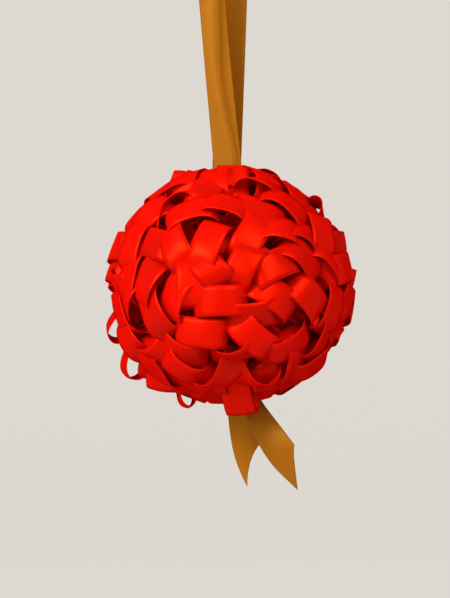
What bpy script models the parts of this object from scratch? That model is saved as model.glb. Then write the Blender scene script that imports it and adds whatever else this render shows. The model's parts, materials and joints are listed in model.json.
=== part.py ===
"""Hanging ball ornament: a foam ball covered in pinned loops of red satin ribbon, with a gold ribbon
hanger above it and two gold tails below.

Units are metres and +Z is up. The origin is the point where the hanger lies over its hook, on the
underside of its bight. The faces of the gold ribbons look along Y.
"""

import math
import random
from string import ascii_lowercase

import bmesh
import bpy
from mathutils import Matrix, Vector

# Ball and loops
FOAM_RADIUS = 0.038
RIBBON_WIDTH = 0.0127
RIBBON_THICKNESS = 0.0004
LOOP_HEIGHT = 0.0149
LOOP_SPACING = 0.0017
BASE_THICKNESS = 0.0008
BASE_MARGIN = 0.0004
SEAT_GAP = 0.0003
LOOP_GAP = 0.0006
MOST_LOOP_GROUPS = 46
LOOP_SEED = 7

# Gold hanger and tails
GOLD_WIDTH = 0.0127
GOLD_THICKNESS = 0.00035
GOLD_BEND = 0.0009
FOOT_REACH = 0.0060
STRAND_SPREAD = 0.0088
BIGHT_RADIUS = 0.0062
HANGER_CLEAR = 0.0940
SLOT_CLEARANCE = 0.0012
FRONT_TAIL_DROP = 0.0228
FRONT_TAIL_EXIT = 0.0100
FRONT_TAIL_SWING = 0.0288
BACK_TAIL_DROP = 0.0220
BACK_TAIL_EXIT = 0.0050
BACK_TAIL_SWING = 0.0093
TAIL_END_CUT = 0.0154

# Pins
PIN_LENGTH = 0.0220
PIN_RADIUS = 0.00035
PIN_HEAD_RADIUS = 0.0010
PIN_HEAD_HEIGHT = 0.0010
PIN_TIP = 0.0020
PIN_OFFSET = 0.0041

# Facets
FOAM_SEGMENTS = 20
PIN_SEGMENTS = 6
STRAND_STEPS = 6
BIGHT_STEPS = 8
BEND_STEPS = 3

# Sizes that follow from the ones above
CREST_RADIUS = FOAM_RADIUS + LOOP_HEIGHT
BALL_CENTRE_Z = -(CREST_RADIUS + HANGER_CLEAR)
GOLD_SEAT_RADIUS = FOAM_RADIUS + SEAT_GAP + GOLD_THICKNESS / 2
PIN_SEAT_RADIUS = FOAM_RADIUS + 2 * SEAT_GAP + GOLD_THICKNESS
PIN_HOLE_RADIUS = PIN_RADIUS + SEAT_GAP
STRAND_Y = GOLD_BEND + GOLD_THICKNESS / 2
BASE_MIDDLE_RADIUS = FOAM_RADIUS + SEAT_GAP + BASE_THICKNESS / 2
SLOT_AT_FOAM = math.hypot(GOLD_WIDTH / 2, FOOT_REACH) + SLOT_CLEARANCE
SLOT_AT_CREST = math.hypot(GOLD_WIDTH / 2, 2 * STRAND_Y) + SLOT_CLEARANCE

# Half a loop's profile, from its foot on the base to its shoulder: the share of the loop's own space
# across, and the share of its height up.
FOOT_AT = (0.20, 0.0)
BELLY_AT = (0.455, 0.44)
SHOULDER_AT = (0.27, 0.97)

RED = (0.80, 0.012, 0.004)
GOLD = (0.52, 0.22, 0.030)
FOAM_WHITE = (0.86, 0.86, 0.82)
STEEL = (0.60, 0.60, 0.61)


def clear_scene():
    for obj in list(bpy.data.objects):
        bpy.data.objects.remove(obj, do_unlink=True)


def new_collection(name, hidden=False):
    collection = bpy.data.collections.new(name)
    bpy.context.scene.collection.children.link(collection)
    collection.hide_render = hidden
    return collection


def new_material(name, colour, roughness, metallic=0.0):
    material = bpy.data.materials.new(name)
    material.use_nodes = True
    shader = material.node_tree.nodes["Principled BSDF"]
    shader.inputs["Base Color"].default_value = (*colour, 1.0)
    shader.inputs["Roughness"].default_value = roughness
    shader.inputs["Metallic"].default_value = metallic
    material.diffuse_color = (*colour, 1.0)
    return material


def new_object(name, mesh, collection, material=None):
    obj = bpy.data.objects.new(name, mesh)
    collection.objects.link(obj)
    if material:
        mesh.materials.append(material)
    return obj


def make_helper(obj):
    obj.hide_render = True
    obj.display_type = "WIRE"


def add_boolean(obj, other, operation):
    modifier = obj.modifiers.new(other.name, "BOOLEAN")
    modifier.operation = operation
    modifier.object = other
    modifier.solver = "EXACT"


def add_solidify(obj, thickness, offset):
    modifier = obj.modifiers.new("thickness", "SOLIDIFY")
    modifier.thickness = thickness
    modifier.offset = offset
    modifier.use_even_offset = True


def add_strip(bm, steps_along, steps_across, place):
    """Adds a flat grid and moves each corner to place(along, across), both from 0 to 1."""
    grid = bmesh.ops.create_grid(bm, x_segments=steps_along, y_segments=steps_across, size=0.5)
    for vertex in grid["verts"]:
        vertex.co = place(vertex.co.x + 0.5, vertex.co.y + 0.5)


def slot_angle(radius):
    """Angle from the axis to the edge of the open slot that the gold ribbon runs through."""
    up = (radius - FOAM_RADIUS) / LOOP_HEIGHT
    return math.asin((SLOT_AT_FOAM + (SLOT_AT_CREST - SLOT_AT_FOAM) * up) / radius)


def on_ball(down, around, radius):
    """Point at a share of the way down from the top slot to the bottom one, and at an angle around."""
    slot = slot_angle(radius)
    polar = slot + (math.pi - 2 * slot) * down
    level = radius * math.sin(polar)
    height = BALL_CENTRE_Z + radius * math.cos(polar)
    return Vector((level * math.sin(around), -level * math.cos(around), height))


class Row:
    """One ring of loops, and the share of the ball that each of them takes. The lowest ring has its
    first place on the side that the tails swing to, and that place holds no arch."""

    def __init__(self, number, rows, rng):
        self.name = f"row_{number + 1:02d}"
        self.top = number / rows
        self.depth = 1 / rows
        slot = slot_angle(CREST_RADIUS)
        self.polar_depth = (math.pi - 2 * slot) / rows
        polar = slot + self.polar_depth * (number + 0.5)
        self.girth = 2 * math.pi * math.sin(polar)
        self.loops = max(3, round(CREST_RADIUS * self.girth / (RIBBON_WIDTH + LOOP_SPACING)))
        self.turn = 2 * math.pi / self.loops
        self.holds_tails = number == rows - 1
        if self.holds_tails:
            self.start = math.pi / 2 - self.turn / 2
            self.slant = 0.0
        else:
            self.start = rng.uniform(0, self.turn)
            self.slant = rng.uniform(-0.3, 0.3)

    def point(self, around, down, radius):
        """Point at a count of loops around and a share of the row's depth down."""
        return on_ball(self.top + self.depth * down, self.start + self.turn * around, radius)

    def around_size(self, radius):
        return radius * self.girth / self.loops

    def down_size(self, radius):
        return radius * self.polar_depth

    def group_bounds(self, groups):
        """First loop and count of each group, with the loops shared out as evenly as they can be."""
        edges = [round(self.loops * i / groups) for i in range(groups + 1)]
        return [(a, b - a) for a, b in zip(edges, edges[1:])]


def make_rows(rng):
    slot = slot_angle(CREST_RADIUS)
    length = CREST_RADIUS * (math.pi / 2 - slot)
    rows = 2 * max(2, round(length / (RIBBON_WIDTH + LOOP_SPACING)))
    return [Row(number, rows, rng) for number in range(rows)]


def flat_radius(row, around, down, middle_radius):
    """Radius of a point on the flat base of one loop, at shares of its place from the middle."""
    return middle_radius / math.cos(math.hypot(around * row.around_size(1), down * row.down_size(1)))


def base_mesh(row, first, count):
    """Overlapped ends of the ribbons of one group of loops, as an open surface next to the foam, flat
    under each loop."""
    radius = flat_radius(row, 0.5, 0.5, FOAM_RADIUS + SEAT_GAP)
    edge_around = LOOP_GAP / 2 / row.around_size(FOAM_RADIUS)
    edge_down = LOOP_GAP / 2 / row.down_size(FOAM_RADIUS)

    def place(along, across):
        around = first + edge_around + (count - 2 * edge_around) * along
        down = edge_down + (1 - 2 * edge_down) * across
        return row.point(around, down, radius)

    bm = bmesh.new()
    add_strip(bm, count, 1, place)
    mesh = bpy.data.meshes.new("base")
    bm.to_mesh(mesh)
    bm.free()
    return mesh


def loop_profile(rng):
    """Corners of one loop, from foot to foot, as shares across its space and up its height."""
    lean = rng.uniform(-0.07, 0.07)
    height = rng.uniform(0.88, 1.0)
    tip = rng.uniform(-0.09, 0.09)
    left = [(-FOOT_AT[0], FOOT_AT[1]), (-BELLY_AT[0], BELLY_AT[1])]
    left += [(lean - SHOULDER_AT[0], (SHOULDER_AT[1] - max(tip, 0)) * height)]
    right = [(lean + SHOULDER_AT[0], (SHOULDER_AT[1] + min(tip, 0)) * height)]
    right += [BELLY_AT, FOOT_AT]
    return left + right


def add_loop(bm, row, index, rng):
    """One arched strip of ribbon inside its own share of the ball, lying around it or down it."""
    corners = loop_profile(rng)
    lies_down = rng.random() < 0.5
    rise = CREST_RADIUS - RIBBON_THICKNESS - BASE_MIDDLE_RADIUS

    def place(along, across):
        share, up = corners[round(along * (len(corners) - 1))]
        radius = BASE_MIDDLE_RADIUS + rise * up
        sizes = (row.around_size(radius), row.down_size(radius))
        length, width = reversed(sizes) if lies_down else sizes
        run = share * (1 - (LOOP_GAP + RIBBON_THICKNESS) / length)
        side = (across - 0.5) * min(RIBBON_WIDTH, width - LOOP_GAP - 2 * BASE_MARGIN) / width
        around, down = (side, run) if lies_down else (run, side)
        around += row.slant * down * up
        if up == 0:
            radius = flat_radius(row, around, down, BASE_MIDDLE_RADIUS)
        return row.point(index + 0.5 + around, 0.5 + down, radius)

    add_strip(bm, len(corners) - 1, 1, place)


def group_counts(rows):
    """Number of groups in each row. It follows the row's girth, so a size that only adds or takes
    away loops leaves it as it is, and all of them together stay within the limit."""
    for at_middle in range(MOST_LOOP_GROUPS, 0, -1):
        counts = [math.ceil(at_middle * row.girth / (2 * math.pi)) for row in rows]
        if sum(counts) <= MOST_LOOP_GROUPS:
            return counts
    raise ValueError("More rows of loops than groups")


def loops_mesh(row, first, count, rng):
    bm = bmesh.new()
    for index in range(first, first + count):
        if not (row.holds_tails and index == 0):
            add_loop(bm, row, index, rng)
    mesh = bpy.data.meshes.new("loops")
    bm.to_mesh(mesh)
    bm.free()
    return mesh


def make_loops(parts, helpers, material):
    rng = random.Random(LOOP_SEED)
    rows = make_rows(rng)
    for row, groups in zip(rows, group_counts(rows)):
        for letter, (first, count) in zip(ascii_lowercase, row.group_bounds(groups)):
            name = f"loops_{row.name}_{letter}"
            base = new_object(name, base_mesh(row, first, count), parts, material)
            add_solidify(base, BASE_THICKNESS, outward(base.data))
            arches = loops_mesh(row, first, count, rng)
            loops = new_object(name + "_arches", arches, helpers, material)
            add_solidify(loops, RIBBON_THICKNESS, 0)
            make_helper(loops)
            add_boolean(base, loops, "UNION")


def outward(mesh):
    """Side that Solidify has to fill for the surface to grow away from the ball's centre."""
    centre = Vector((0, 0, BALL_CENTRE_Z))
    face = mesh.polygons[0]
    return 1 if face.normal.dot(face.center - centre) > 0 else -1


def ease(share):
    return share * share * (3 - 2 * share)


def foot_sections(side):
    """Foot of a gold ribbon on top of the ball, from its end to the start of its strand. Each section
    is a centre and half the width as a vector, measured from the ball's centre."""
    half = Vector((GOLD_WIDTH / 2, 0, 0))
    flat_end = STRAND_Y + GOLD_BEND
    sections = []
    for share in (0.0, 0.5, 1.0):
        y = FOOT_REACH + (flat_end - FOOT_REACH) * share
        z = math.sqrt(GOLD_SEAT_RADIUS**2 - y * y)
        sections.append((Vector((0, side * y, z)), half))
    for step in range(1, BEND_STEPS + 1):
        angle = math.pi / 2 * step / BEND_STEPS
        y = flat_end - GOLD_BEND * math.sin(angle)
        rise = GOLD_BEND * (1 - math.cos(angle))
        sections.append((Vector((0, side * y, z + rise)), half))
    return sections


def hanger_sections():
    """Gold hanger from its front foot up over the bight and down to its back foot."""
    half = Vector((GOLD_WIDTH / 2, 0, 0))
    front = foot_sections(-1)
    start = front[-1][0].z
    end = -BALL_CENTRE_Z + GOLD_THICKNESS / 2 - BIGHT_RADIUS
    for step in range(1, STRAND_STEPS + 1):
        share = step / STRAND_STEPS
        y = STRAND_Y + (BIGHT_RADIUS - STRAND_Y) * ease(share)
        x = STRAND_SPREAD / 2 * share
        front.append((Vector((-x, -y, start + (end - start) * share)), half))
    back = [(Vector((-centre.x, -centre.y, centre.z)), width) for centre, width in reversed(front)]
    bight = []
    for step in range(1, BIGHT_STEPS):
        angle = math.pi * step / BIGHT_STEPS
        x = -STRAND_SPREAD / 2 * math.cos(angle)
        y = -BIGHT_RADIUS * math.cos(angle)
        bight.append((Vector((x, y, end + BIGHT_RADIUS * math.sin(angle))), half))
    return front + bight + back


def tail_sections(side, exit_at, swing, drop):
    """Gold tail from its foot, out between the loops, to its slanted end. It is laid out upwards, and
    turned over by the caller. Its sections slant more and more towards that of the cut end."""
    sections = foot_sections(side)
    start = sections[-1][0].z
    inside = CREST_RADIUS - start
    tilt = math.atan2(swing - exit_at, drop)
    for step in range(1, STRAND_STEPS + 1):
        up = (inside + drop) * step / STRAND_STEPS
        within = min(1, up / inside)
        beyond = max(0, up - inside) / drop
        turned = tilt * ease(within)
        half = Vector((math.cos(turned), 0, -math.sin(turned))) * GOLD_WIDTH / 2
        half -= Vector((math.sin(turned), 0, math.cos(turned))) * TAIL_END_CUT / 2 * beyond
        x = exit_at * within + (swing - exit_at) * beyond
        y = side * STRAND_Y * (1 + within)
        sections.append((Vector((x, y, start + up)), half))
    return sections


def gold_ribbon(name, sections, parts, material, turn_over=False):
    """Strip lofted through the sections."""
    flip = -1 if turn_over else 1

    def place(along, across):
        centre, half = sections[round(along * (len(sections) - 1))]
        point = centre + half * (2 * across - 1)
        return Vector((point.x, point.y, flip * point.z + BALL_CENTRE_Z))

    bm = bmesh.new()
    add_strip(bm, len(sections) - 1, 1, place)
    mesh = bpy.data.meshes.new(name)
    bm.to_mesh(mesh)
    bm.free()
    strip = new_object(name, mesh, parts, material)
    add_solidify(strip, GOLD_THICKNESS, 0)
    return strip


def pin_place(side, top):
    """World matrix of a pin: its head's underside, with +Z out of the ball."""
    tilt = math.asin(PIN_OFFSET / PIN_SEAT_RADIUS)
    turn = Matrix.Rotation(-side * tilt, 4, "X")
    if top < 0:
        turn = Matrix.Rotation(math.pi, 4, "Y") @ turn
    out = Matrix.Translation((0, 0, PIN_SEAT_RADIUS))
    return Matrix.Translation((0, 0, BALL_CENTRE_Z)) @ turn @ out


def pin(name, matrix, parts, material):
    profile = [
        (0, PIN_HEAD_HEIGHT),
        (0.7 * PIN_HEAD_RADIUS, 0.8 * PIN_HEAD_HEIGHT),
        (PIN_HEAD_RADIUS, 0.35 * PIN_HEAD_HEIGHT),
        (0.8 * PIN_HEAD_RADIUS, 0),
        (PIN_RADIUS, 0),
        (PIN_RADIUS, PIN_TIP - PIN_LENGTH),
        (0, -PIN_LENGTH),
    ]
    mesh = bpy.data.meshes.new(name)
    edges = [(i, i + 1) for i in range(len(profile) - 1)]
    mesh.from_pydata([(x, 0, z) for x, z in profile], edges, [])
    obj = new_object(name, mesh, parts, material)
    obj.matrix_world = matrix
    screw = obj.modifiers.new("turned", "SCREW")
    screw.steps = screw.render_steps = PIN_SEGMENTS
    screw.use_merge_vertices = True
    screw.merge_threshold = 0.00001
    screw.use_smooth_shade = True
    return obj


def pin_hole(name, matrix, helpers):
    """Cutter for the hole that a pin makes in the ribbon and in the foam."""
    length = PIN_LENGTH + 2 * SEAT_GAP
    mesh = bpy.data.meshes.new(name)
    bm = bmesh.new()
    down = Matrix.Translation((0, 0, SEAT_GAP - length / 2))
    bmesh.ops.create_cone(
        bm, cap_ends=True, segments=PIN_SEGMENTS, radius1=PIN_HOLE_RADIUS, radius2=PIN_HOLE_RADIUS,
        depth=length, matrix=down,
    )
    bm.to_mesh(mesh)
    bm.free()
    obj = new_object(name, mesh, helpers)
    obj.matrix_world = matrix
    make_helper(obj)
    return obj


def foam_ball(parts, material):
    mesh = bpy.data.meshes.new("foam_ball")
    bm = bmesh.new()
    bmesh.ops.create_uvsphere(
        bm, u_segments=FOAM_SEGMENTS, v_segments=FOAM_SEGMENTS // 2, radius=FOAM_RADIUS
    )
    bm.to_mesh(mesh)
    bm.free()
    mesh.shade_smooth()
    ball = new_object("foam_ball", mesh, parts, material)
    ball.location.z = BALL_CENTRE_Z
    return ball


def main():
    clear_scene()
    parts = new_collection("ribbon_loop_ball")
    helpers = new_collection("helpers", hidden=True)
    red = new_material("red_satin", RED, 0.38)
    gold = new_material("gold_satin", GOLD, 0.45)
    foam = new_material("foam", FOAM_WHITE, 0.9)
    steel = new_material("pin_steel", STEEL, 0.3, 1.0)

    ball = foam_ball(parts, foam)
    make_loops(parts, helpers, red)

    hanger = gold_ribbon("hanger_ribbon", hanger_sections(), parts, gold)
    front_shape = tail_sections(-1, FRONT_TAIL_EXIT, FRONT_TAIL_SWING, FRONT_TAIL_DROP)
    front_tail = gold_ribbon("front_tail", front_shape, parts, gold, turn_over=True)
    back_shape = tail_sections(1, BACK_TAIL_EXIT, BACK_TAIL_SWING, BACK_TAIL_DROP)
    back_tail = gold_ribbon("back_tail", back_shape, parts, gold, turn_over=True)

    for side, place_name, tail in ((-1, "front", front_tail), (1, "back", back_tail)):
        for top, ribbon in ((1, hanger), (-1, tail)):
            name = f"{'hanger' if top > 0 else 'tail'}_pin_{place_name}"
            matrix = pin_place(side, top)
            pin(name, matrix, parts, steel)
            hole = pin_hole(name + "_hole", matrix, helpers)
            add_boolean(ribbon, hole, "DIFFERENCE")
            add_boolean(ball, hole, "DIFFERENCE")


main()
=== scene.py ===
"""Looks of the hanging ribbon ball: crowded loops of red satin ribbon on a foam ball, a gold satin hanger
above it and two gold tails below.

Everything is in metres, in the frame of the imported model: +Z is up, and the origin is where the hanger
lies over its hook. The photograph looks along +Y.
"""

import json
import math
import random

import bmesh
import bpy
import numpy as np
from bpy.props import FloatProperty, FloatVectorProperty, IntProperty, PointerProperty
from mathutils import Matrix, Vector

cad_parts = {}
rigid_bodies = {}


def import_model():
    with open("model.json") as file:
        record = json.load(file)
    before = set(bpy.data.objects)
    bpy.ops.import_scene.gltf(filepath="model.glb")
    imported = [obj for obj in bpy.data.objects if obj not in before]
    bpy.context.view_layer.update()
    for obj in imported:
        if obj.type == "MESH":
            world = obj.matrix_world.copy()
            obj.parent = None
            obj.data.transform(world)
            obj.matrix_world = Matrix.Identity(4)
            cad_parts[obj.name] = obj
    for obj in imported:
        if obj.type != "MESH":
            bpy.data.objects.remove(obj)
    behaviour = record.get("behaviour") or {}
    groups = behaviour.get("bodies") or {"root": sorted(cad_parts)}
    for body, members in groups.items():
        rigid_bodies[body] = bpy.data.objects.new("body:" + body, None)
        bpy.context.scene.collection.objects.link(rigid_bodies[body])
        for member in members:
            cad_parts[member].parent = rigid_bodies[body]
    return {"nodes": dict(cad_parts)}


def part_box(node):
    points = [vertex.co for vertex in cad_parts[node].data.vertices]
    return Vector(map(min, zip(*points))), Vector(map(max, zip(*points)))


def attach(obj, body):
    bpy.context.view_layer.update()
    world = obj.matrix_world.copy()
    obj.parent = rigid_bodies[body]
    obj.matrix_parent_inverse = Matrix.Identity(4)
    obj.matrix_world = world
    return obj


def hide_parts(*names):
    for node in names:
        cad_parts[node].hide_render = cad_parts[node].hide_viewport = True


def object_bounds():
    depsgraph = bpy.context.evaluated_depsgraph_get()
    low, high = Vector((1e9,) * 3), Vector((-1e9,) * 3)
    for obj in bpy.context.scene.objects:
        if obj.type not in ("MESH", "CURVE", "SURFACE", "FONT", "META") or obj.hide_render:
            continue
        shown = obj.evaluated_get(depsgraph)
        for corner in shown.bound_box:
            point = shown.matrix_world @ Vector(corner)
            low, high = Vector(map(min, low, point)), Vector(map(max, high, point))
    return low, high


bl_info = {
    "name": "Hanging Ribbon Ball",
    "version": (1, 0, 0),
    "blender": (4, 5, 0),
    "location": "View3D > Sidebar > Ribbon Ball",
    "description": "Dresses a hanging ball in satin ribbon loops, with a gold hanger and tails",
    "category": "Object",
}

for leftover in list(bpy.data.objects):
    bpy.data.objects.remove(leftover, do_unlink=True)
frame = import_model()
cad_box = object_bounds()

FOAM_LOW, FOAM_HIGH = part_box("foam_ball")
BALL_CENTRE = (FOAM_LOW + FOAM_HIGH) / 2
# How far the photograph is turned against upright.
PICTURE_TILT = math.radians(-1.6)
LOOP_NODES = sorted(name for name in frame["nodes"] if name.startswith("loops_row_"))
PIN_NODES = sorted(name for name in frame["nodes"] if name.endswith(("_front", "_back")) and "pin" in name)


def length_property(name, description, default):
    return FloatProperty(
        name=name, description=description, default=default, unit="LENGTH", precision=5, min=0.0
    )


def colour_property(name, description, default):
    return FloatVectorProperty(
        name=name, description=description, default=default, subtype="COLOR", size=3, min=0.0, max=1.0
    )


class RedLoopSettings(bpy.types.PropertyGroup):
    foam_radius: length_property(
        "Foam Radius", "Radius of the ball that the loops are pinned to", (FOAM_HIGH.z - FOAM_LOW.z) / 2
    )
    loop_height: length_property("Loop Height", "How far the loops stand out of the foam", 0.0149)
    ribbon_width: length_property("Ribbon Width", "Width of the red ribbon", 0.0127)
    loop_spacing: length_property("Loop Spacing", "Room between the places of two loops", 0.0017)
    ribbon_thickness: length_property("Ribbon Thickness", "Thickness of the red ribbon", 0.00022)
    shortest_strip: length_property("Shortest Strip", "Ribbon round the shortest loop", 0.0560)
    longest_strip: length_property("Longest Strip", "Ribbon round the longest loop", 0.0660)
    layer_gap: length_property("Layer Gap", "Distance that crowded ribbons keep", 0.0015)
    lean: FloatProperty(
        name="Lean", description="Most that a loop is set askew", default=0.50, subtype="ANGLE"
    )
    place_seed: IntProperty(name="Place Seed", description="Turn of each row on the ball", default=7)
    crowd_seed: IntProperty(name="Crowd Seed", description="Length, turn and lean of each loop", default=4)
    rounds: IntProperty(name="Rounds", description="Rounds in which the loops find room", default=340)
    colour: colour_property("Satin Red", "Colour of the red ribbon's face", (0.97, 0.0060, 0.0010))
    edge_colour: colour_property("Selvedge Red", "Colour of the woven edges", (0.62, 0.003, 0.001))
    glow_colour: colour_property("Red Glow", "Light that passes the red ribbon", (0.90, 0.010, 0.002))


class GoldRibbonSettings(bpy.types.PropertyGroup):
    ribbon_width: length_property("Ribbon Width", "Width of the gold ribbon", 0.0127)
    ribbon_thickness: length_property("Ribbon Thickness", "Thickness of the gold ribbon", 0.00030)
    bend_radius: length_property("Bend Radius", "Bend of the ribbon where it leaves the foam", 0.0009)
    foot_reach: length_property("Foot Reach", "How far a foot reaches from the axis", 0.0060)
    slot_clearance: length_property("Slot Clearance", "Room between gold ribbon and loops", 0.0012)
    strand_spread: length_property("Strand Spread", "Distance between the strands at the top", 0.0112)
    bight_radius: length_property("Bight Radius", "Bend over the hook", 0.0062)
    colour: colour_property("Satin Gold", "Colour of the gold ribbon's face", (0.46, 0.172, 0.007))
    edge_colour: colour_property("Selvedge Gold", "Colour of the woven edges", (0.36, 0.125, 0.005))
    glow_colour: colour_property("Gold Glow", "Light that passes the gold ribbon", (0.56, 0.215, 0.009))


class CoreSettings(bpy.types.PropertyGroup):
    pin_head_radius: length_property("Pin Head", "Radius of the head of a loop's pin", 0.00035)
    foam_colour: colour_property("Foam Red", "Colour of the painted foam ball", (0.80, 0.020, 0.008))
    bead_size: length_property("Foam Bead", "Size of the beads in the foam", 0.0030)
    steel_colour: colour_property("Pin Steel", "Colour of the pins", (0.62, 0.62, 0.63))


class StageSettings(bpy.types.PropertyGroup):
    floor_drop: length_property("Floor Drop", "Floor below the lowest tail", 0.20)
    stage_radius: length_property("Stage Radius", "Radius of the round backdrop", 2.6)
    camera_distance: length_property("Camera Distance", "Camera to the middle of the ball", 1.0)
    view_height: length_property("View Height", "Height of the picture at the ball", 0.2530)
    ball_right: length_property("Ball Right", "Ball's middle right of the picture's middle", 0.0021)
    ball_up: length_property("Ball Up", "Ball's middle above the picture's middle", 0.0038)
    camera_roll: FloatProperty(
        name="Camera Roll", description="Tilt of the picture", default=PICTURE_TILT, subtype="ANGLE"
    )
    key_power: FloatProperty(name="Key Power", description="Lamp at the upper left", default=27.0)
    fill_power: FloatProperty(name="Fill Power", description="Lamp at the upper right", default=15.5)
    sky_strength: FloatProperty(name="Sky Strength", description="Light from all round", default=0.42)
    floor_colour: colour_property("Pale Floor", "Colour of the floor and backdrop", (0.52, 0.50, 0.47))
    backdrop_colour: colour_property("Backdrop", "Even brightness of the backdrop", (0.88, 0.85, 0.79))
    backdrop_glow: FloatProperty(
        name="Backdrop Glow", description="Share of the even brightness that the camera sees", default=0.72
    )


class Number:
    """A socket that carries a number, with the arithmetic of the Math node."""

    def __init__(self, finish, socket):
        self.finish = finish
        self.socket = socket

    def maths(self, operation, *values):
        node = self.finish.node("ShaderNodeMath", {"operation": operation}, *values)
        return Number(self.finish, node.outputs[0])

    def __add__(self, other):
        return self.maths("ADD", self, other)

    def __sub__(self, other):
        return self.maths("SUBTRACT", self, other)

    def __mul__(self, other):
        return self.maths("MULTIPLY", self, other)

    __radd__ = __add__
    __rmul__ = __mul__

    def __rsub__(self, other):
        return self.maths("SUBTRACT", other, self)

    def __abs__(self):
        return self.maths("ABSOLUTE", self)

    def between(self, low, high):
        """0 below low, 1 above high, and smooth from one to the other."""
        node = self.finish.node(
            "ShaderNodeMapRange", {"interpolation_type": "SMOOTHSTEP"}, self, low, high, 0.0, 1.0
        )
        return Number(self.finish, node.outputs[0])


class Finish:
    """One material, with its Principled BSDF and a short way to add nodes to it."""

    def __init__(self, name, roughness, metallic=0.0):
        self.material = bpy.data.materials.new(name)
        self.material.use_nodes = True
        self.tree = self.material.node_tree
        self.shader = self.tree.nodes["Principled BSDF"]
        self.output = self.tree.nodes["Material Output"]
        self.fix("Roughness", roughness)
        self.fix("Metallic", metallic)

    def node(self, kind, settings=None, *values, **named):
        """New node: its settings, then its inputs in order, then inputs by name."""
        made = self.tree.nodes.new(kind)
        for name, value in (settings or {}).items():
            setattr(made, name, value)
        for index, value in enumerate(values):
            self.feed(made.inputs[index], value)
        for name, value in named.items():
            self.feed(made.inputs[name.replace("_", " ")], value)
        return made

    def feed(self, socket, value):
        if isinstance(value, Number):
            value = value.socket
        if isinstance(value, bpy.types.NodeSocket):
            self.tree.links.new(value, socket)
        elif socket.type == "RGBA":
            socket.default_value = (*value, 1.0)
        else:
            socket.default_value = value

    def fix(self, name, value):
        self.feed(self.shader.inputs[name], value)

    def number(self, socket):
        return Number(self, socket)

    def attribute(self, name):
        """Three numbers of a vector that the mesh carries."""
        vector = self.node("ShaderNodeAttribute", {"attribute_name": name}).outputs["Vector"]
        return [self.number(socket) for socket in self.node("ShaderNodeSeparateXYZ", None, vector).outputs]

    def vector(self, x, y, z):
        return self.node("ShaderNodeCombineXYZ", None, x, y, z).outputs[0]

    def noise(self, place, scale, detail=2.0):
        node = self.node("ShaderNodeTexNoise", None, Vector=place, Scale=scale, Detail=detail)
        return self.number(node.outputs["Fac"])

    def mix(self, share, first, second):
        """Colour between two colours."""
        node = self.node("ShaderNodeMix", {"data_type": "RGBA"})
        for socket, value in zip((node.inputs[0], node.inputs[6], node.inputs[7]), (share, first, second)):
            self.feed(socket, value)
        return node.outputs[2]

    def bump(self, height, strength, distance):
        node = self.node("ShaderNodeBump", None, Strength=strength, Distance=distance, Height=height)
        self.fix("Normal", node.outputs[0])

    def cloth(self, passing_share, glow_colour, dull_colour):
        """Takes the gloss off where the cloth is seen edge on, and lets some light pass through it."""
        edge_on = self.number(self.node("ShaderNodeLayerWeight").outputs["Facing"])
        dull = self.node("ShaderNodeBsdfDiffuse", None, dull_colour)
        share = edge_on.between(0.15, 0.60)
        face = self.node("ShaderNodeMixShader", None, share, self.shader.outputs[0], dull.outputs[0])
        glow = self.node("ShaderNodeBsdfTranslucent", None, glow_colour)
        mixed = self.node("ShaderNodeMixShader", None, passing_share, face.outputs[0], glow.outputs[0])
        self.tree.links.new(mixed.outputs[0], self.output.inputs["Surface"])


# Woven edge of a ribbon: where it starts and is full, from the ribbon's edge, in metres.
SELVEDGE_START = 0.0006
SELVEDGE_FULL = 0.0003
# Streaks, threads and clouds of the satin: how many to the metre along and across it.
STREAKS = (30, 2600)
THREADS = (2600, 500)
CLOUDS = (90, 90)
# Colour of the darkest ribbon, and of ribbon that is seen edge on, as a share of the ribbon's colour.
DEEP_SHARE = 0.50
DULL_SHARE = 0.72


def satin(name, settings, roughness, passing):
    """Satin ribbon. ribbon_place holds the place along it and across it in metres, and its own tone."""
    finish = Finish(name, roughness)
    along, across, tone = finish.attribute("ribbon_place")
    half = settings.ribbon_width / 2
    selvedge = abs(across).between(half - SELVEDGE_START, half - SELVEDGE_FULL)
    streaks = finish.noise(finish.vector(along * STREAKS[0], across * STREAKS[1], tone * 40), 1.0, 3.0)
    threads = finish.noise(finish.vector(along * THREADS[0], across * THREADS[1], tone * 17), 1.0)
    clouds = finish.noise(finish.vector(along * CLOUDS[0], across * CLOUDS[1], tone * 23), 1.0)
    deep = tuple(DEEP_SHARE * value for value in settings.colour)
    dull = tuple(DULL_SHARE * value for value in settings.colour)
    face = finish.mix(tone * 0.80 + clouds * 0.20, tuple(settings.colour), deep)
    face = finish.mix(selvedge * 0.7, face, tuple(settings.edge_colour))
    finish.fix("Base Color", face)
    finish.fix("Roughness", (streaks - 0.5) * 0.16 + selvedge * 0.2 + roughness)
    finish.bump(streaks * 0.6 + threads * 0.4 + selvedge * 0.6, 0.35, 0.00005)
    finish.cloth(passing, tuple(settings.glow_colour), dull)
    return finish


GOLD_FINISH = "gold_ribbon_satin"


def red_satin_finish(settings):
    finish = satin("red_ribbon_satin", settings, 0.35, 0.26)
    finish.fix("Metallic", 0.42)
    finish.fix("Specular IOR Level", 0.40)
    finish.fix("Specular Tint", (1.0, 0.22, 0.03))
    return finish.material


def gold_satin_finish(settings):
    finish = satin(GOLD_FINISH, settings, 0.42, 0.36)
    finish.fix("Metallic", 0.20)
    finish.fix("Specular Tint", (1.0, 0.66, 0.18))
    return finish.material


def foam_finish(settings):
    """Beaded foam, painted red, with painted shade darkening the hollows between the beads."""
    finish = Finish("foam_beads", 0.85)
    place = finish.node("ShaderNodeTexCoord").outputs["Object"]
    beads = finish.node("ShaderNodeTexVoronoi", None, Vector=place, Scale=1 / settings.bead_size)
    edge = finish.number(beads.outputs["Distance"])
    # Darker colour in the seams between the beads, where the bump sinks: painted shade.
    shade = tuple(0.8 * value for value in settings.foam_colour)
    finish.fix("Base Color", finish.mix(edge.between(0.3, 0.8), tuple(settings.foam_colour), shade))
    finish.bump(1 - edge, 0.5, 0.0003)
    return finish.material


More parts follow.
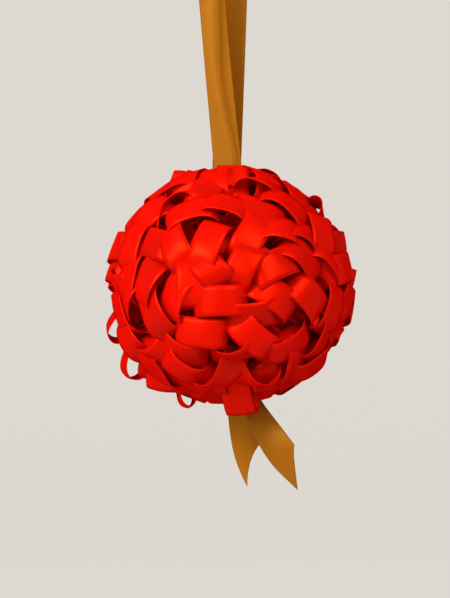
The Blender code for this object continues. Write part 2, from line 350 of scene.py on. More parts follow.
def steel_finish(settings):
    """Drawn steel of the pins."""
    finish = Finish("pin_steel", 0.28, 1.0)
    place = finish.node("ShaderNodeTexCoord").outputs["Object"]
    grain = finish.noise(place, 4000.0)
    dull = tuple(0.8 * value for value in settings.steel_colour)
    finish.fix("Base Color", finish.mix(grain, tuple(settings.steel_colour), dull))
    finish.fix("Roughness", grain * 0.15 + 0.2)
    return finish.material


def stage_finish(settings):
    finish = Finish("pale_stage", 0.9)
    place = finish.node("ShaderNodeTexCoord").outputs["Object"]
    grain = finish.noise(place, 3.0)
    shade = tuple(0.98 * value for value in settings.floor_colour)
    finish.fix("Base Color", finish.mix(grain, tuple(settings.floor_colour), shade))
    rays = finish.node("ShaderNodeLightPath").outputs
    seen = finish.number(rays["Is Camera Ray"]) + finish.number(rays["Is Glossy Ray"])
    seen = (seen + finish.number(rays["Is Transmission Ray"])) * settings.backdrop_glow
    glow = finish.node("ShaderNodeEmission", None, tuple(settings.backdrop_colour), 1.0)
    mixed = finish.node("ShaderNodeMixShader", None, seen, finish.shader.outputs[0], glow.outputs[0])
    finish.tree.links.new(mixed.outputs[0], finish.output.inputs["Surface"])
    return finish.material


# Room between the foam and a gold ribbon's foot, in metres.
SEAT_GAP = 0.0003


def gold_seat_radius(red, gold):
    return red.foam_radius + SEAT_GAP + gold.ribbon_thickness / 2


def strand_y(gold):
    return gold.bend_radius + gold.ribbon_thickness / 2


def slot_angle(radius, red, gold):
    """Angle from the axis to the edge of the slot that the gold ribbon runs through."""
    at_foam = math.hypot(gold.ribbon_width / 2, gold.foot_reach) + gold.slot_clearance
    at_crest = math.hypot(gold.ribbon_width / 2, 2 * strand_y(gold)) + gold.slot_clearance
    up = (radius - red.foam_radius) / red.loop_height
    return math.asin((at_foam + (at_crest - at_foam) * up) / radius)


def on_ball(down, around, radius, red, gold):
    """Direction at a share of the way down from the top slot to the bottom one, times the radius."""
    slot = slot_angle(radius, red, gold)
    polar = slot + (math.pi - 2 * slot) * down
    level = radius * math.sin(polar)
    return np.array((level * math.sin(around), -level * math.cos(around), radius * math.cos(polar)))


class LoopPlace:
    """Where one loop stands: its node, its foot on the foam and the way that it stands up."""

    def __init__(self, node, foot, crest):
        self.node = node
        self.foot = foot
        out = crest - foot
        self.out = out / np.linalg.norm(out)


def loop_places(red, gold):
    """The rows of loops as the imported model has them."""
    draws = random.Random(red.place_seed)
    crest_radius = red.foam_radius + red.loop_height
    pitch = red.ribbon_width + red.loop_spacing
    slot = slot_angle(crest_radius, red, gold)
    rows = 2 * max(2, round(crest_radius * (math.pi / 2 - slot) / pitch))
    places = []
    for number in range(rows):
        polar = slot + (math.pi - 2 * slot) / rows * (number + 0.5)
        loops = max(3, round(crest_radius * 2 * math.pi * math.sin(polar) / pitch))
        turn = 2 * math.pi / loops
        holds_tails = number == rows - 1
        start = math.pi / 2 - turn / 2
        if not holds_tails:
            start = draws.uniform(0, turn)
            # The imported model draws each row's slant here, which no place needs.
            draws.uniform(-0.3, 0.3)
        nodes = [name for name in LOOP_NODES if name.startswith(f"loops_row_{number + 1:02d}_")]
        edges = [round(loops * i / len(nodes)) for i in range(len(nodes) + 1)]
        for index in range(loops):
            if holds_tails and index == 0:
                continue
            node = nodes[sum(index >= edge for edge in edges) - 1]
            down = (number + 0.5) / rows
            around = start + turn * (index + 0.5)
            foot = on_ball(down, around, red.foam_radius + 0.0006, red, gold)
            places.append(LoopPlace(node, foot, on_ball(down, around, crest_radius, red, gold)))
    return places


# Loops that stand proud of the ball's outline: clock angle in degrees from the right, degrees towards the
# camera, reach from the ball's middle, length of ribbon, and turn in degrees, 0 with the eye towards the
# camera and 90 with the ribbon's face along the outline.
RIM_LOOPS = (
    (221, 3, 0.0584, 0.059, 14),
    (201, 2, 0.0562, 0.052, 14),
    (251.5, 6, 0.0542, 0.044, 8),
    (44, -3, 0.0544, 0.044, 16),
    (2, 6, 0.0532, 0.050, 86),
    (20, 6, 0.0534, 0.050, 78),
    (108, 6, 0.0542, 0.050, 86),
    (160, 8, 0.0540, 0.050, 74),
    (276, 17, 0.0564, 0.056, 84),
    (237, 6, 0.0530, 0.048, 76),
    (89, 12, 0.0545, 0.056, 84),
)
# Loops whose faces the photograph shows: the middle of the face right of and above the ball's middle, in
# millimetres, and the way that the ribbon runs there, in degrees from the right.
FACE_LOOPS = (
    (-24.5, 19.0, -52), (-10.5, 18.5, 75), (6.0, 14.5, 62), (-2.0, -4.0, 0), (-14.0, 1.0, 90),
    (-24.5, 0.0, 48), (-37.0, 1.0, 55), (-31.0, -12.5, -55), (-11.5, -16.5, -7), (11.5, -12.5, 5),
    (18.0, -1.0, -30), (18.0, 10.5, 30), (33.0, -4.0, -35), (24.0, -26.5, 2), (5.0, -31.0, 38),
    (-17.0, -29.5, 12), (-4.5, -42.5, 84), (40.0, -22.0, 70), (43.5, 14.5, 5), (37.0, 28.5, 80),
    (21.0, 28.0, 20), (30.0, 16.0, -20), (-3.0, 38.0, -30), (21.5, 39.0, -35), (11.0, 48.0, -25),
    (-19.5, 33.0, 8), (-24.0, 42.0, 20), (-40.5, 19.5, 80), (-34.0, 32.0, 30), (-45.5, -6.0, 40),
    (-31.0, -31.0, 60), (13.0, -43.0, 95), (43.0, -9.0, 65), (-43.5, -21.0, -40),
)
# Reach of these loops from the ball's middle, and their length of ribbon, in metres.
FACE_REACH = 0.0530
FACE_STRIP = 0.063
# Reach of the other loops at the ball's outline: clock angle in degrees, and millimetres from the ball's
# middle.
OUTLINE = (
    (0, 53.0), (24, 53.5), (40, 52.2), (55, 49.4), (68, 51.2), (76, 53.2), (98, 53.0), (124, 52.2),
    (147, 50.4), (163, 52.6), (183, 52.8), (206, 48.4), (226, 51.4), (236, 52.4), (254, 48.8), (284, 48.8),
    (305, 50.0), (322, 47.6), (336, 52.2), (347, 53.2),
)
# A loop belongs to the outline where its direction leans less than this towards or from the camera.
RIM_DEPTH = 0.34
# Points round each loop and across its ribbon, and points round the finished loop.
STEPS_ROUND = 24
STEPS_ACROSS = 7
FINE_ROUND = 48
# Size of a loop before it grows, as a share of its real size.
START_SIZE = 0.55
# Share of the rounds in which the loops grow.
GROWING = 0.6
# Height of the loops' caps against the loop height, and of a shown loop's cap over its crest, in metres.
CAP_RANGE = (-0.0026, 0.0008)
CREST_ROOM = 0.0004
# Points of a shown loop's crest that are held where the photograph has them.
HELD_ROW = STEPS_ROUND // 2
HELD_COLUMNS = slice(2, 5)
# Steps on each side of the pin in which the overlapped ends lie on the foam.
FOOT_STEPS = 2
# Height of those ends over the foam, and least height of any other point, in metres.
FOOT_HEIGHT = 0.0007
LEAST_HEIGHT = 0.0005
# Share of the way that each round moves a point to its foot's height, or back under its cap.
FOOT_PULL = 0.4
CAP_PULL = 0.14
# Pairs of points of the same ribbon that keep their distance: steps round, steps across, and how firmly.
RIBBON_PAIRS = ((1, 0, 1.0), (0, 1, 1.0), (1, 1, 0.6), (1, -1, 0.6), (2, 0, 0.4), (0, 2, 0.6), (0, 5, 0.5),
                (4, 0, 0.14))


class ShownLoop:
    """A loop of the photograph: the middle of its crest, the way its ribbon runs there and its length."""

    def __init__(self, crest, run, length):
        self.crest = np.array(crest)
        self.run = np.array(run)
        self.length = length


def shown_loops():
    """The loops of the photograph, set upright from its tilt."""
    loops = []
    for degrees, forward, reach, length, turn in RIM_LOOPS:
        clock = math.radians(degrees) + PICTURE_TILT
        forward, turn = math.radians(forward), math.radians(turn)
        level = reach * math.cos(forward)
        crest = (level * math.cos(clock), -reach * math.sin(forward), level * math.sin(clock))
        run = (-math.sin(clock) * math.cos(turn), math.sin(turn), math.cos(clock) * math.cos(turn))
        loops.append(ShownLoop(crest, run, length))
    for right, up, degrees in FACE_LOOPS:
        clock = math.atan2(up, right) + PICTURE_TILT
        level = math.hypot(right, up) / 1000
        crest = (level * math.cos(clock), -math.sqrt(FACE_REACH**2 - level**2), level * math.sin(clock))
        angle = math.radians(degrees) + PICTURE_TILT
        loops.append(ShownLoop(crest, (math.cos(angle), 0.0, math.sin(angle)), FACE_STRIP))
    return loops


def places_of_shown(places):
    """The shown loops by the index of the place that stands nearest to each."""
    chosen = {}
    for shown in shown_loops():
        free = [i for i in range(len(places)) if i not in chosen]
        index = max(free, key=lambda i: places[i].out.dot(shown.crest))
        chosen[index] = shown
    return chosen


def outline_reach(out):
    clock = math.degrees(math.atan2(out[2], out[0]) - PICTURE_TILT) % 360
    degrees, reaches = zip(*OUTLINE)
    return float(np.interp(clock, degrees, reaches, period=360)) / 1000


def unit(vector):
    return vector / np.linalg.norm(vector)


def first_loops(places, lengths, chosen, red, draws):
    """Small round loops on their feet, each turned and tilted its own way, before they grow."""
    rounds = np.linspace(0, 2 * math.pi, STEPS_ROUND, endpoint=False)[:, None, None]
    across = (np.arange(STEPS_ACROSS) / (STEPS_ACROSS - 1) - 0.5)[None, :, None]
    loops = []
    for index, (place, length) in enumerate(zip(places, lengths)):
        run = draws.normal(size=3)
        lean = draws.uniform(-red.lean, red.lean, 2)
        if abs(place.out[1]) < RIM_DEPTH:
            run = 0.4 * run + np.array((0.0, 1.0, 0.0))
        side = unit(run - place.out * run.dot(place.out))
        out = place.out + side * math.tan(lean[0]) + np.cross(place.out, side) * math.tan(lean[1])
        if index in chosen:
            out = chosen[index].crest - place.foot
            side = chosen[index].run
        out = unit(out)
        side = unit(side - out * side.dot(out))
        width = np.cross(out, side) * red.ribbon_width * START_SIZE
        radius = START_SIZE * length / (2 * math.pi)
        ring = out * (1 - np.cos(rounds)) + side * np.sin(rounds)
        loops.append(place.foot + radius * ring + width * across)
    return np.array(loops)


def pairs_of(step_round, step_across):
    """Index pairs of points that lie some steps apart, in sets that share no point."""
    sets = []
    for colour in (0, 1):
        a_round = np.arange(STEPS_ROUND)
        if step_round:
            a_round = a_round[(a_round // step_round) % 2 == colour]
        columns = np.arange(max(0, -step_across), STEPS_ACROSS - max(0, step_across))
        if not step_round:
            columns = columns[(columns // step_across) % 2 == colour]
        if len(columns):
            first = (slice(None), a_round[:, None], columns[None, :])
            b_round = (a_round + step_round) % STEPS_ROUND
            sets.append((first, (slice(None), b_round[:, None], (columns + step_across)[None, :])))
    return sets


def pull(points, weights, sets, rest, strength):
    """Moves the two points of each pair towards their rest distance."""
    for first, second in sets:
        apart = points[second] - points[first]
        size = np.linalg.norm(apart, axis=-1, keepdims=True) + 1e-9
        share = weights[first] + weights[second] + 1e-9
        move = apart * (strength * (size - rest) / size / share)
        points[first] += weights[first] * move
        points[second] -= weights[second] * move


def close_pairs(points, owners, reach):
    """Pairs of points of different ribbons that are nearer than the reach."""
    cells = np.floor(points / reach).astype(np.int64)
    cells -= cells.min(0) - 2
    size = cells.max(0) + 3
    keys = (cells[:, 0] * size[1] + cells[:, 1]) * size[2] + cells[:, 2]
    order = np.argsort(keys, kind="stable")
    keys = keys[order]
    own = np.arange(len(keys))
    found = []
    for dx, dy in ((0, 0), (0, 1), (1, -1), (1, 0), (1, 1)):
        shift = (dx * size[1] + dy) * size[2]
        start = own + 1 if shift == 0 else np.searchsorted(keys, keys + shift - 1, "left")
        count = np.maximum(np.searchsorted(keys, keys + shift + 1, "right") - start, 0)
        first = np.repeat(own, count)
        skipped = np.repeat(np.cumsum(count) - count, count)
        second = np.arange(count.sum()) - skipped + np.repeat(start, count)
        first, second = order[first], order[second]
        keep = owners[first] != owners[second]
        first, second = first[keep], second[keep]
        near = np.linalg.norm(points[first] - points[second], axis=1) < reach
        found.append((first[near], second[near]))
    return [np.concatenate(column) for column in zip(*found)]


def push_apart(points, mobility, pairs, gap):
    """Moves each near pair apart, each point by the mean of its pushes."""
    first, second = pairs
    apart = points[first] - points[second]
    size = np.linalg.norm(apart, axis=1) + 1e-9
    near = size < gap
    first, second, apart, size = first[near], second[near], apart[near], size[near]
    push = apart * ((gap - size) / size * 0.5)[:, None]
    ends = np.concatenate((first, second))
    pushes = np.concatenate((push, -push))
    count = np.maximum(np.bincount(ends, minlength=len(points)), 1.0) ** 0.7
    for axis in range(3):
        total = np.bincount(ends, pushes[:, axis], len(points))
        points[:, axis] += mobility * total / count


def crowd_loops(places, red, gold_points):
    """Lets the loops grow to their real length and find room between each other. The shown loops are led
    to their places as they grow, and only those on the rim are held there to the end."""
    draws = np.random.default_rng(red.crowd_seed)
    lengths = draws.uniform(red.shortest_strip, red.longest_strip, len(places))
    caps = red.foam_radius + red.loop_height + draws.uniform(*CAP_RANGE, len(places))
    for index, place in enumerate(places):
        if abs(place.out[1]) < RIM_DEPTH:
            caps[index] = outline_reach(place.out)
    chosen = places_of_shown(places)
    for index, shown in chosen.items():
        caps[index] = np.linalg.norm(shown.crest) + CREST_ROOM
        lengths[index] = shown.length
    loops = first_loops(places, lengths, chosen, red, draws)
    held = list(chosen)
    start = loops[held, HELD_ROW, HELD_COLUMNS]
    crests = np.array([chosen[index].crest for index in held])[:, None]
    end = crests + (start - start[:, 1:2]) / START_SIZE
    weights = np.ones(loops.shape[:3] + (1,))
    weights[:, 0, STEPS_ACROSS // 2] = 0
    weights[held, 0, 1:-1] = 0
    weights[held, HELD_ROW, HELD_COLUMNS] = 0
    amount = weights.size
    owners = np.concatenate((np.repeat(np.arange(len(places)), STEPS_ROUND * STEPS_ACROSS),
                             np.full(len(gold_points), -1)))
    mobility = np.concatenate((weights.reshape(-1), np.zeros(len(gold_points))))
    rules = [(pairs_of(along, aside), firmness) for along, aside, firmness in RIBBON_PAIRS]
    rounds = red.rounds
    pairs = None
    for turn in range(rounds):
        done = min(1.0, turn / (GROWING * rounds))
        grown = START_SIZE + (1 - START_SIZE) * done
        if done == 1.0 and len(held) > len(RIM_LOOPS):
            weights[held[len(RIM_LOOPS):], HELD_ROW, HELD_COLUMNS] = 1
            mobility[:amount] = weights.reshape(-1)
            held, start, end = (items[:len(RIM_LOOPS)] for items in (held, start, end))
        loops[held, HELD_ROW, HELD_COLUMNS] = start + (end - start) * done
        step = (lengths * grown / STEPS_ROUND)[:, None, None, None]
        wide = red.ribbon_width * grown / (STEPS_ACROSS - 1)
        chord = step / math.sin(math.pi / STEPS_ROUND)
        rests = [step, wide, np.hypot(step, wide), np.hypot(step, wide),
                 chord * math.sin(2 * math.pi / STEPS_ROUND), 2 * wide, 5 * wide,
                 chord * math.sin(4 * math.pi / STEPS_ROUND)]
        if turn % 4 == 0:
            every = np.concatenate((loops.reshape(-1, 3), gold_points))
            pairs = close_pairs(every, owners, red.layer_gap * 1.25)
        every = np.concatenate((loops.reshape(-1, 3), gold_points))
        push_apart(every, mobility, pairs, red.layer_gap * (0.6 + 0.4 * grown))
        loops = every[:amount].reshape(loops.shape)
        for _ in range(2):
            for (sets, strength), rest in zip(rules, rests):
                pull(loops, weights, sets, rest, strength)
        radius = np.linalg.norm(loops, axis=-1, keepdims=True)
        cap = caps[:, None, None, None]
        kept = np.maximum(radius, red.foam_radius + LEAST_HEIGHT)
        kept = np.where(kept > cap, kept - CAP_PULL * (kept - cap), kept)
        for step in range(-FOOT_STEPS, FOOT_STEPS + 1):
            kept[:, step] += FOOT_PULL * (red.foam_radius + FOOT_HEIGHT - kept[:, step])
        loops = loops * np.where(weights > 0, kept / radius, 1.0)
    return loops, lengths


def smooth_loops(loops):
    """Evens out the small dents of crowding, and gives each loop finer steps round it."""
    for _ in range(3):
        mean = (np.roll(loops, 1, 1) + np.roll(loops, -1, 1)) / 2
        loops = loops + 0.45 * (mean - loops)
        inner = (loops[:, :, :-2] + loops[:, :, 2:]) / 2
        loops[:, :, 1:-1] += 0.5 * (inner - loops[:, :, 1:-1])
    before, after, later = np.roll(loops, 1, 1), np.roll(loops, -1, 1), np.roll(loops, -2, 1)
    halfway = (9 * (loops + after) - before - later) / 16
    fine = np.empty((loops.shape[0], FINE_ROUND) + loops.shape[2:])
    fine[:, 0::2], fine[:, 1::2] = loops, halfway
    return fine


def ribbon_mesh(name, strips):
    """Mesh of one or more ribbons. A strip is a grid of points, and its ribbon_place at each point."""
    points = np.concatenate([grid.reshape(-1, 3) for grid, _ in strips])
    spots = np.concatenate([place.reshape(-1, 3) for _, place in strips])
    faces = []
    base = 0
    for grid, _ in strips:
        rows, columns = grid.shape[:2]
        for i in range(rows - 1):
            for j in range(columns - 1):
                corner = base + i * columns + j
                faces.append((corner, corner + 1, corner + columns + 1, corner + columns))
        base += rows * columns
    mesh = bpy.data.meshes.new(name)
    mesh.from_pydata(points.tolist(), [], faces)
    attribute = mesh.attributes.new("ribbon_place", "FLOAT_VECTOR", "POINT")
    attribute.data.foreach_set("vector", spots.astype(np.float32).reshape(-1))
    mesh.shade_smooth()
    return mesh


def strip_place(grid, width, tone):
    """Place along and across the ribbon in metres, and its tone, for each point of the grid."""
    middle = grid[:, grid.shape[1] // 2]
    steps = np.linalg.norm(np.diff(middle, axis=0), axis=1)
    along = np.concatenate(([0.0], np.cumsum(steps)))
    place = np.zeros(grid.shape)
    place[..., 0] = along[:, None]
    place[..., 1] = ((np.arange(grid.shape[1]) / (grid.shape[1] - 1) - 0.5) * width)[None, :]
    place[..., 2] = tone
    return place


def new_piece(name, mesh, material):
    piece = bpy.data.objects.new(name, mesh)
    bpy.context.scene.collection.objects.link(piece)
    mesh.materials.append(material)
    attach(piece, "root")
    return piece


def thicken(piece, thickness):
    """Gives the cloth its thickness, and applies it."""
    modifier = piece.modifiers.new("thickness", "SOLIDIFY")
    modifier.thickness = thickness
    modifier.offset = 0
    with bpy.context.temp_override(object=piece, active_object=piece, selected_objects=[piece]):
        bpy.ops.object.modifier_apply(modifier=modifier.name)


def foot_sections(side, red, gold):
    """Foot of a gold ribbon on top of the ball: centre and half width of each section."""
    half = Vector((gold.ribbon_width / 2, 0, 0))
    seat = gold_seat_radius(red, gold)
    flat_end = strand_y(gold) + gold.bend_radius
    sections = []
    for share in (0.0, 0.25, 0.5, 0.75, 1.0):
        y = gold.foot_reach + (flat_end - gold.foot_reach) * share
        sections.append((Vector((0, side * y, math.sqrt(seat**2 - y * y))), half))
    low = sections[-1][0].z
    for step in range(1, 7):
        angle = math.pi / 2 * step / 6
        y = flat_end - gold.bend_radius * math.sin(angle)
        rise = gold.bend_radius * (1 - math.cos(angle))
        sections.append((Vector((0, side * y, low + rise)), half))
    return sections


def ease(share):
    return share * share * (3 - 2 * share)


# Sections of a gold strand or tail, points across it, and steps of the bend over the hook.
STRAND_STEPS = 60
GOLD_ACROSS = 41
BIGHT_STEPS = 16
# Turn of the two strands about their own line, at the ball and at the top, in degrees.
FRONT_STRAND_TURN = (24, 37)
BACK_STRAND_TURN = (22, 2)
# How far each strand is pushed to the other one's side where it leaves the loops.
FRONT_STRAND_SWAY = 0.0014
BACK_STRAND_SWAY = 0.0006
# Lengthwise crease of the front strand: share of the way up, place across the ribbon, depth, and how wide
# it spreads to its left.
CREASE = (
    (0.00, 0.0042, 0.0010, 0.0006), (0.15, 0.0039, 0.0017, 0.0006), (0.22, 0.0029, 0.0018, 0.0006),
    (0.29, 0.0019, 0.0018, 0.0006), (0.36, 0.0012, 0.0019, 0.0007), (0.43, 0.0007, 0.0020, 0.0009),
    (0.50, 0.0006, 0.0023, 0.0012), (0.59, 0.0013, 0.0027, 0.0018), (0.73, 0.0024, 0.0031, 0.0025),
    (0.82, 0.0033, 0.0033, 0.0030), (1.00, 0.0038, 0.0034, 0.0030),
)
# How wide it spreads to its right.
CREASE_RIGHT_SPREAD = 0.0016
# Lines of the tails below the ball, as points across and up from the ball's middle, with the turn of the
# ribbon about its line at each, in degrees.
FRONT_TAIL_LINE = (
    (0.0032, -0.0425, 20), (0.0080, -0.0492, 44), (0.0112, -0.0545, 42), (0.0154, -0.0622, 22),
    (0.0210, -0.0706, 4), (0.0266, -0.0766, 0), (0.0330, -0.0830, -4),
)
BACK_TAIL_LINE = (
    (0.0020, -0.0430, 0), (0.0038, -0.0500, -8), (0.0047, -0.0600, -6), (0.0062, -0.0690, 0),
    (0.0090, -0.0770, 8), (0.0122, -0.0835, 14),
)
# Slant and hollow of each tail's cut end, and the length down its middle.
FRONT_TAIL_CUT = (0.0152, 0.0)
BACK_TAIL_CUT = (0.0155, 0.0014)
FRONT_TAIL_END = 0.0500
BACK_TAIL_END = 0.0408


def leaving(share):
    """0 where a strand leaves the foam, and 1 after the first ninth of its way."""
    return ease(min(1, 9 * share))


def hanging_free(share):
    """1 along most of a strand, and 0 at its two ends."""
    return leaving(share) * ease(min(1, 5 * (1 - share)))


def strand(red, gold, turns, sway):
    """One strand of the hanger from the ball up to the bend over the hook, on the front and left side."""
    sections = foot_sections(-1, red, gold)
    start = sections[-1][0].z
    end = -BALL_CENTRE.z + gold.ribbon_thickness / 2 - gold.bight_radius
    for step in range(1, STRAND_STEPS + 1):
        share = step / STRAND_STEPS
        y = strand_y(gold) + (gold.bight_radius - strand_y(gold)) * ease(share)
        x = gold.strand_spread / 2 * share - sway * (1 - share) * leaving(share)
        turn = math.radians(turns[0] + (turns[1] - turns[0]) * share) * hanging_free(share)
        half = Vector((math.cos(turn), -math.sin(turn), 0)) * gold.ribbon_width / 2
        sections.append((Vector((-x, -y, start + (end - start) * share)), half))
    return sections


def hanger_grid(red, gold):
    """Gold hanger from its front foot up over the hook and down to its back foot, from the ball's middle."""
    front = strand(red, gold, FRONT_STRAND_TURN, FRONT_STRAND_SWAY)
    back = strand(red, gold, BACK_STRAND_TURN, BACK_STRAND_SWAY)
    end = front[-1][0].z
    bight = []
    for step in range(1, BIGHT_STEPS):
        angle = math.pi * step / BIGHT_STEPS
        x = -gold.strand_spread / 2 * math.cos(angle)
        y = -gold.bight_radius * math.cos(angle)
        bight.append((Vector((x, y, end + gold.bight_radius * math.sin(angle))), front[0][1]))
    down = [(Vector((-centre.x, -centre.y, centre.z)), half) for centre, half in reversed(back)]
    grid = section_grid(front + bight + down)
    feet = len(front) - STRAND_STEPS
    shares, *facts = zip(*CREASE)
    for step in range(STRAND_STEPS):
        share = step / STRAND_STEPS
        crease, depth, left_spread = (np.interp(share, shares, values) for values in facts)
        half = front[feet + step][1]
        normal = np.array((half.y, -half.x, 0.0)) / half.length
        away = np.linspace(-1, 1, GOLD_ACROSS) * gold.ribbon_width / 2 - crease
        spread = np.where(away < 0, left_spread, CREASE_RIGHT_SPREAD)
        valley = depth * hanging_free(share) * np.exp(-np.abs(away) / spread)
        grid[feet + step] -= normal * valley[:, None]
    return grid


def smooth_line(points):
    """Fine points of a smooth line through the given ones."""
    points = np.array(points, float)
    ends = np.concatenate((2 * points[:1] - points[1:2], points, 2 * points[-1:] - points[-2:-1]))
    fine = [points[:1]]
    for a, b, c, d in zip(ends, ends[1:], ends[2:], ends[3:]):
        t = np.linspace(0, 1, 13)[1:, None]
        bend = (2 * a - 5 * b + 4 * c - d) * t**2 + (3 * b - a - 3 * c + d) * t**3
        fine.append((2 * b + (c - a) * t + bend) / 2)
    return np.concatenate(fine)


def tail_grid(side, line, cut, length, red, gold):
    """Gold tail from its foot on the foam, out between the loops to its slanted end."""
    foot = foot_sections(side, red, gold)
    start = foot[-1][0]
    out_points = [(start.x, side * strand_y(gold), -start.z, 0)]
    for number, (x, z, turn) in enumerate(line):
        y = side * strand_y(gold) * (1 + min(1, number / 2))
        out_points.append((x, y, z, math.radians(turn)))
    fine = smooth_line(out_points)
    way = np.gradient(fine[:, :3], axis=0)
    way[:, 1] = 0
    way /= np.linalg.norm(way, axis=1, keepdims=True)
    flat = np.stack((-way[:, 2], np.zeros(len(way)), way[:, 0]), 1)
    turn = fine[:, 3:4]
    halves = (flat * np.cos(turn) + np.array((0, 1, 0)) * np.sin(turn)) * gold.ribbon_width / 2
    centres = np.concatenate(([(c.x, c.y, -c.z) for c, _ in foot[:-1]], fine[:, :3]))
    halves = np.concatenate(([tuple(half) for _, half in foot[:-1]], halves))
    steps = np.linalg.norm(np.diff(centres, axis=0), axis=1)
    along = np.concatenate(([0.0], np.cumsum(steps)))
    shares = np.linspace(-1, 1, GOLD_ACROSS)
    ends = length - cut[0] / 2 * shares - cut[1] * (1 - shares**2)
    grid = np.empty((STRAND_STEPS, GOLD_ACROSS, 3))
    for column, (share, end) in enumerate(zip(shares, ends)):
        at = np.linspace(0, 1, STRAND_STEPS) * end
        for axis in range(3):
            centre = np.interp(at, along, centres[:, axis])
            grid[:, column, axis] = centre + share * np.interp(at, along, halves[:, axis])
    return grid


def section_grid(sections):
    """Points of a ribbon that is lofted through its sections, from the ball's middle."""
    shares = np.linspace(-1, 1, GOLD_ACROSS)
    return np.array([[centre + half * share for share in shares] for centre, half in sections])


def gold_grids(red, gold):
    return {
        "hanger_ribbon": hanger_grid(red, gold),
        "front_tail": tail_grid(-1, FRONT_TAIL_LINE, FRONT_TAIL_CUT, FRONT_TAIL_END, red, gold),
        "back_tail": tail_grid(1, BACK_TAIL_LINE, BACK_TAIL_CUT, BACK_TAIL_END, red, gold),
    }


# Tone of all gold ribbon: 0 is the plain colour, and 1 the deep one.
GOLD_TONE = 0.4


def gold_piece(name, grid, gold, material):
    place = strip_place(grid, gold.ribbon_width, GOLD_TONE)
    mesh = ribbon_mesh(name + "_satin", [(grid + np.array(BALL_CENTRE), place)])
    piece = new_piece(name + "_satin", mesh, material)
    thicken(piece, gold.ribbon_thickness)
    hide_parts(name)
    return piece


class RIBBONBALL_OT_red_loops(bpy.types.Operator):
    """Pin the red satin loops all over the foam ball"""

    bl_idname = "ribbonball.red_loops"
    bl_label = "Red Satin Loops"

    def execute(self, context):
        red = context.scene.red_loops
        gold = context.scene.gold_ribbon
        places = loop_places(red, gold)
        gold_points = np.concatenate([grid.reshape(-1, 3) for grid in gold_grids(red, gold).values()])
        near = np.linalg.norm(gold_points, axis=1) < red.foam_radius + 1.5 * red.loop_height
        loops, lengths = crowd_loops(places, red, gold_points[near])
        fine = smooth_loops(loops)
        tones = np.random.default_rng(red.crowd_seed + 1).uniform(0, 1, len(places))
        material = red_satin_finish(red)
        for node in LOOP_NODES:
            chosen = [i for i, place in enumerate(places) if place.node == node]
            strips = []
            for i in chosen:
                grid = np.concatenate((fine[i], fine[i][:1])) + np.array(BALL_CENTRE)
                strips.append((grid, strip_place(grid, red.ribbon_width, tones[i])))
            mesh = ribbon_mesh(node + "_satin", strips)
            piece = new_piece(node + "_satin", mesh, material)
            thicken(piece, red.ribbon_thickness)
            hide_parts(node)
        return {"FINISHED"}


class RIBBONBALL_OT_gold_hanger(bpy.types.Operator):
    """Hang the gold ribbon over its hook"""

    bl_idname = "ribbonball.gold_hanger"
    bl_label = "Gold Hanger"

    def execute(self, context):
        red = context.scene.red_loops
        gold = context.scene.gold_ribbon
        gold_piece("hanger_ribbon", hanger_grid(red, gold), gold, gold_satin_finish(gold))
        return {"FINISHED"}


class RIBBONBALL_OT_gold_tails(bpy.types.Operator):
    """Hang the two gold tails under the ball"""

    bl_idname = "ribbonball.gold_tails"
    bl_label = "Gold Tails"

    def execute(self, context):
        red = context.scene.red_loops
        gold = context.scene.gold_ribbon
        material = bpy.data.materials.get(GOLD_FINISH) or gold_satin_finish(gold)
        grids = gold_grids(red, gold)
        for name in ("front_tail", "back_tail"):
            gold_piece(name, grids[name], gold, material)
        return {"FINISHED"}


class RIBBONBALL_OT_core(bpy.types.Operator):
    """Finish the foam ball and the pins, and pin each red loop"""

    bl_idname = "ribbonball.core"
    bl_label = "Foam and Pins"

    def execute(self, context):
        core = context.scene.ball_core
        red = context.scene.red_loops
        steel = steel_finish(core)
        frame["nodes"]["foam_ball"].data.materials.clear()
        frame["nodes"]["foam_ball"].data.materials.append(foam_finish(core))
        for name in PIN_NODES:
            frame["nodes"][name].data.materials.clear()
            frame["nodes"][name].data.materials.append(steel)
        bm = bmesh.new()
        for place in loop_places(red, context.scene.gold_ribbon):
            made = bmesh.ops.create_uvsphere(bm, u_segments=8, v_segments=5, radius=core.pin_head_radius)
            up = Vector(place.out).to_track_quat("Z", "Y")
            spot = Vector(place.foot) + BALL_CENTRE + Vector(place.out) * 0.0006
            for vertex in made["verts"]:
                flat = Vector((vertex.co.x, vertex.co.y, 0.6 * vertex.co.z))
                vertex.co = up @ flat + spot
        mesh = bpy.data.meshes.new("loop_pin_heads")
        bm.to_mesh(mesh)
        bm.free()
        mesh.shade_smooth()
        new_piece("loop_pin_heads", mesh, steel)
        return {"FINISHED"}


# Each lamp: place from the ball's middle, size in metres, and colour.
KEY_LAMP = ((-0.92, -0.96, 0.62), 0.90, (1.0, 0.93, 0.84))
FILL_LAMP = ((0.50, -1.15, 0.80), 0.9, (1.0, 0.92, 0.82))
SKY_COLOUR = (1.0, 0.97, 0.93, 1.0)


def area_lamp(name, place, size, colour, power):
    lamp = bpy.data.lights.new(name, "AREA")
    lamp.shape = "DISK"
    lamp.size = size
    lamp.energy = power
    lamp.color = colour
    obj = bpy.data.objects.new(name, lamp)
    obj.location = BALL_CENTRE + Vector(place)
    obj.rotation_euler = (BALL_CENTRE - obj.location).to_track_quat("-Z", "Y").to_euler()
    bpy.context.scene.collection.objects.link(obj)


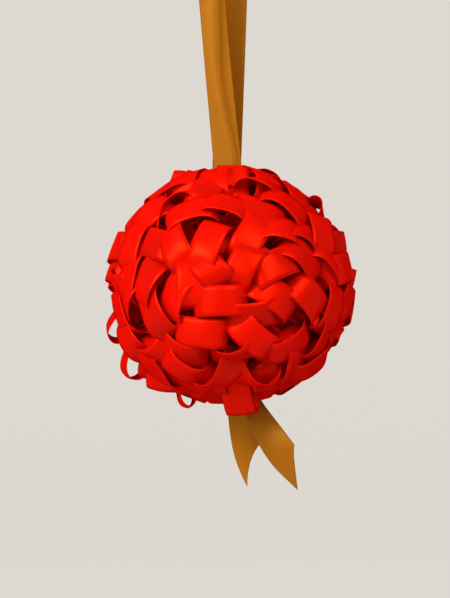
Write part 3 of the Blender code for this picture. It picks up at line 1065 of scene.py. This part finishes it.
class RIBBONBALL_OT_stage(bpy.types.Operator):
    """Set up the pale stage, the lamps and the camera"""

    bl_idname = "ribbonball.stage"
    bl_label = "Stage"

    def execute(self, context):
        stage = context.scene.photo_stage
        scene = context.scene
        floor_z = cad_box[0][2] - stage.floor_drop
        corner = stage.stage_radius / 4
        profile = [(0.0, floor_z), (stage.stage_radius - corner, floor_z)]
        for step in range(1, 13):
            angle = math.pi / 2 * step / 12
            out = stage.stage_radius - corner + corner * math.sin(angle)
            profile.append((out, floor_z + corner * (1 - math.cos(angle))))
        profile.append((stage.stage_radius, floor_z + 2.2 * corner))
        mesh = bpy.data.meshes.new("stage")
        edges = [(i, i + 1) for i in range(len(profile) - 1)]
        mesh.from_pydata([(x, 0, z) for x, z in profile], edges, [])
        backdrop = bpy.data.objects.new("stage", mesh)
        scene.collection.objects.link(backdrop)
        mesh.materials.append(stage_finish(stage))
        screw = backdrop.modifiers.new("turned", "SCREW")
        screw.steps = screw.render_steps = 96
        screw.use_merge_vertices = True
        screw.use_smooth_shade = True

        world = bpy.data.worlds.new("studio")
        world.use_nodes = True
        sky = world.node_tree.nodes["Background"]
        sky.inputs["Color"].default_value = SKY_COLOUR
        sky.inputs["Strength"].default_value = stage.sky_strength
        scene.world = world
        area_lamp("key_lamp", *KEY_LAMP, stage.key_power)
        area_lamp("fill_lamp", *FILL_LAMP, stage.fill_power)

        camera = bpy.data.cameras.new("camera")
        camera.sensor_width = 36.0
        camera.lens = camera.sensor_width * stage.camera_distance / stage.view_height
        obj = bpy.data.objects.new("camera", camera)
        shift = Vector((stage.ball_right, stage.camera_distance, stage.ball_up))
        obj.location = BALL_CENTRE - shift
        level = Matrix.Rotation(math.pi / 2, 3, "X")
        obj.rotation_euler = (level @ Matrix.Rotation(stage.camera_roll, 3, "Z")).to_euler()
        scene.collection.objects.link(obj)
        scene.camera = obj
        scene.view_settings.view_transform = "Standard"
        return {"FINISHED"}


class RIBBONBALL_PT_panel(bpy.types.Panel):
    """Lists the pieces of the ribbon ball"""

    bl_idname = "RIBBONBALL_PT_panel"
    bl_label = "Ribbon Ball"
    bl_space_type = "VIEW_3D"
    bl_region_type = "UI"
    bl_category = "Ribbon Ball"

    def draw(self, context):
        for operator in OPERATORS:
            self.layout.operator(operator.bl_idname)
        for name in SETTINGS:
            group = getattr(context.scene, name)
            box = self.layout.box()
            for key in group.bl_rna.properties.keys():
                if key not in ("rna_type", "name"):
                    box.prop(group, key)


OPERATORS = (
    RIBBONBALL_OT_red_loops,
    RIBBONBALL_OT_gold_hanger,
    RIBBONBALL_OT_gold_tails,
    RIBBONBALL_OT_core,
    RIBBONBALL_OT_stage,
)
SETTINGS = {
    "red_loops": RedLoopSettings,
    "gold_ribbon": GoldRibbonSettings,
    "ball_core": CoreSettings,
    "photo_stage": StageSettings,
}


def register():
    for cls in (*SETTINGS.values(), *OPERATORS, RIBBONBALL_PT_panel):
        bpy.utils.register_class(cls)
    for name, group in SETTINGS.items():
        setattr(bpy.types.Scene, name, PointerProperty(type=group))


def unregister():
    for name in SETTINGS:
        delattr(bpy.types.Scene, name)
    for cls in reversed((*SETTINGS.values(), *OPERATORS, RIBBONBALL_PT_panel)):
        bpy.utils.unregister_class(cls)


def main():
    register()
    bpy.ops.ribbonball.red_loops()
    bpy.ops.ribbonball.gold_hanger()
    bpy.ops.ribbonball.gold_tails()
    bpy.ops.ribbonball.core()
    bpy.ops.ribbonball.stage()


if __name__ == "__main__":
    main()
